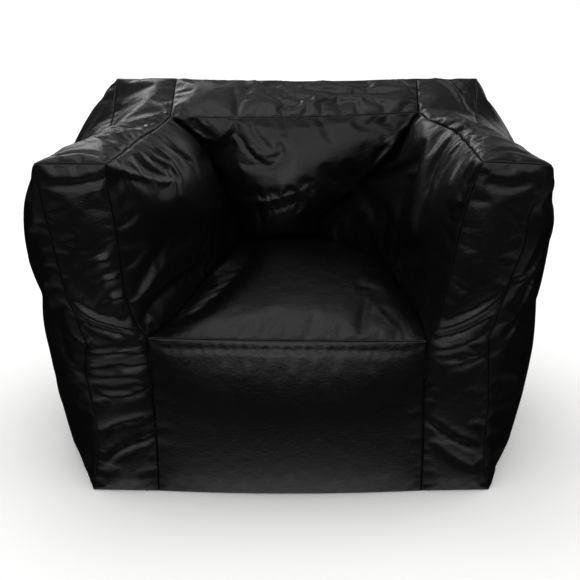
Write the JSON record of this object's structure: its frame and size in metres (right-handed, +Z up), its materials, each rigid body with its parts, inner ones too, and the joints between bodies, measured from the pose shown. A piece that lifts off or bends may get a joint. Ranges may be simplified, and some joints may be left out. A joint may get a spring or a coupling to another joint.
{
  "type": "bean bag chair",
  "caption": "Cube-shaped bean bag armchair: a slack leathercloth cover sewn from flat panels, with two arms, a low back and a sunk seat, over a zipped liner full of beads.",
  "frame": {"origin": "on the floor, at the middle of the outline seen from above", "axes": "+X across the seat, to the right of someone who looks at the chair's front; +Y from the front to the back; +Z up"},
  "size_m": [0.972, 0.6394, 0.629],
  "materials": {
    "leathercloth": "glossy black coated leathercloth",
    "liner_cloth": "plain woven polyester",
    "beads": "expanded polystyrene beads",
    "zip_tape": "woven tape",
    "zip_coil": "nylon coil",
    "zip_metal": "dark plated zinc",
    "label": "satin ribbon, blank"
  },
  "bodies": {
    "chair": {"base_panel": "leathercloth", "front_panel": "leathercloth", "seat_panel": "leathercloth", "inner_back_panel": "leathercloth", "back_top_strip": "leathercloth", "rear_upper_panel": "leathercloth", "rear_lower_panel": "leathercloth", "arm_front_right": "leathercloth", "arm_front_left": "leathercloth", "arm_top_right": "leathercloth", "arm_top_left": "leathercloth", "side_panel_right": "leathercloth", "side_panel_left": "leathercloth", "inner_arm_right": "leathercloth", "inner_arm_left": "leathercloth", "liner_bag": "liner_cloth", "bead_filling": "beads", "cover_zip_tape_upper": "zip_tape", "cover_zip_tape_lower": "zip_tape", "cover_zip_coil_upper": "zip_coil", "cover_zip_coil_lower": "zip_coil", "cover_zip_top_stop_upper": "zip_metal", "cover_zip_top_stop_lower": "zip_metal", "cover_zip_bottom_stop": "zip_metal", "liner_zip_tape_upper": "zip_tape", "liner_zip_tape_lower": "zip_tape", "liner_zip_coil_upper": "zip_coil", "liner_zip_coil_lower": "zip_coil", "liner_zip_top_stop_upper": "zip_metal", "liner_zip_top_stop_lower": "zip_metal", "liner_zip_bottom_stop": "zip_metal", "care_label": "label"},
    "cover_slider": {"cover_zip_slider": "zip_metal"},
    "cover_tab": {"cover_zip_pull_tab": "zip_metal"},
    "liner_slider": {"liner_zip_slider": "zip_metal"}
  },
  "joints": [
    {"name": "cover_zip_slide", "type": "slide", "parent": "chair", "child": "cover_slider", "axis": [1, 0, 0], "range_m": [0, 0.408]},
    {"name": "cover_tab_hinge", "type": "hinge", "parent": "cover_slider", "child": "cover_tab", "pos_m": [-0.205, 0.2845, 0.08], "axis": [0, 0, 1], "range_deg": [0, 160]},
    {"name": "liner_zip_slide", "type": "slide", "parent": "chair", "child": "liner_slider", "axis": [-1, 0, 0], "range_m": [0, 0.408]}
  ]
}
